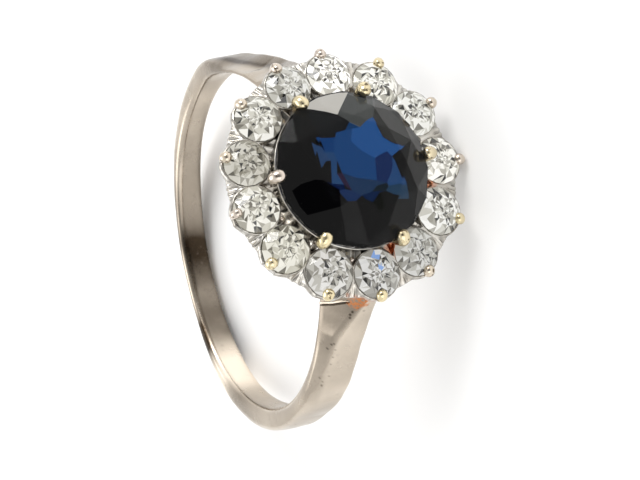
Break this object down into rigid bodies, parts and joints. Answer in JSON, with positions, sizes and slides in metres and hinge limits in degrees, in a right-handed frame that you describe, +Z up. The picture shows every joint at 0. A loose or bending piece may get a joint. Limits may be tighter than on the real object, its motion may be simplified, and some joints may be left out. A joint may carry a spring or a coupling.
{
  "type": "cluster ring",
  "caption": "Finger ring with a round blue sapphire held by claws inside a ring of round diamonds, on a plain band that widens at the shoulders.",
  "frame": {"origin": "on the floor, below the middle of the box round the lying ring", "axes": "-Y towards the head with its stones, +Y towards the back of the band, +Z up from the floor that the ring lies on"},
  "size_m": [0.019, 0.023, 0.0124],
  "materials": {
    "white_gold": "polished white gold, softly worn",
    "sapphire": "polished facets, very dark blue",
    "diamond": "polished facets, clear"
  },
  "bodies": {
    "root": {"band_and_setting": "white_gold", "sapphire": "sapphire", "diamond_01": "diamond", "diamond_02": "diamond", "diamond_03": "diamond", "diamond_04": "diamond", "diamond_05": "diamond", "diamond_06": "diamond", "diamond_07": "diamond", "diamond_08": "diamond", "diamond_09": "diamond", "diamond_10": "diamond", "diamond_11": "diamond", "diamond_12": "diamond", "diamond_13": "diamond"}
  },
  "joints": []
}
